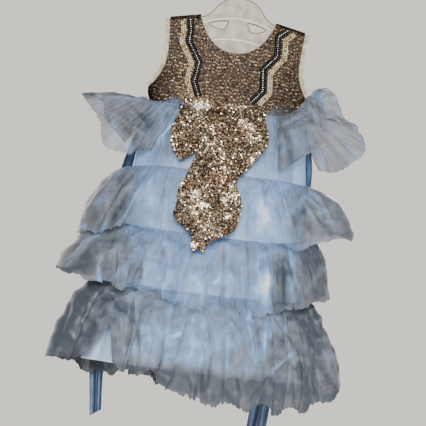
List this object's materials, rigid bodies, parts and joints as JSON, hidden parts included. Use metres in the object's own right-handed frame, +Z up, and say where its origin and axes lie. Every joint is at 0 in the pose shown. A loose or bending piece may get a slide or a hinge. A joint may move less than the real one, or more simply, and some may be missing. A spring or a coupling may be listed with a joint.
{
  "type": "sequin dress on a clothes hanger",
  "caption": "Girl's sleeveless party dress with a sequinned bodice, standing waist flounces and a tiered organza skirt, hung flat on a moulded clothes hanger.",
  "frame": {"origin": "the inside top of the hanger's hook, where a rail or nail carries it", "axes": "+Z up along the hanging dress; +X to the right as seen from the front; the front faces -Y"},
  "size_m": [0.5403, 0.2017, 0.8519],
  "materials": {
    "sequinned_net": "sequinned net, semi-metallic glints",
    "black_beads": "rows of black and silver beads",
    "cream_beads": "rows of cream beads",
    "net": "thin cream net, raw edge",
    "satin": "light blue satin, soft sheen",
    "organza": "sheer grey-blue organza, raw hems",
    "button_plastic": "small cream button",
    "hanger_plastic": "off-white moulded plastic"
  },
  "bodies": {
    "root": {"hanger": "hanger_plastic", "bodice_front": "sequinned_net", "bodice_back_left": "sequinned_net", "bodice_back_right": "sequinned_net", "back_button": "button_plastic", "band_cream_left": "cream_beads", "band_cream_right": "cream_beads", "band_black_left": "black_beads", "band_black_right": "black_beads", "frill_left": "net", "frill_right": "net", "underskirt": "satin", "tier_1": "organza", "tier_2": "organza", "tier_3": "organza", "flounce_front": "organza", "flounce_back": "organza", "wing_left": "organza", "wing_right": "organza", "sequin_tail": "sequinned_net", "tie_left": "satin", "tie_right": "satin"}
  },
  "joints": []
}
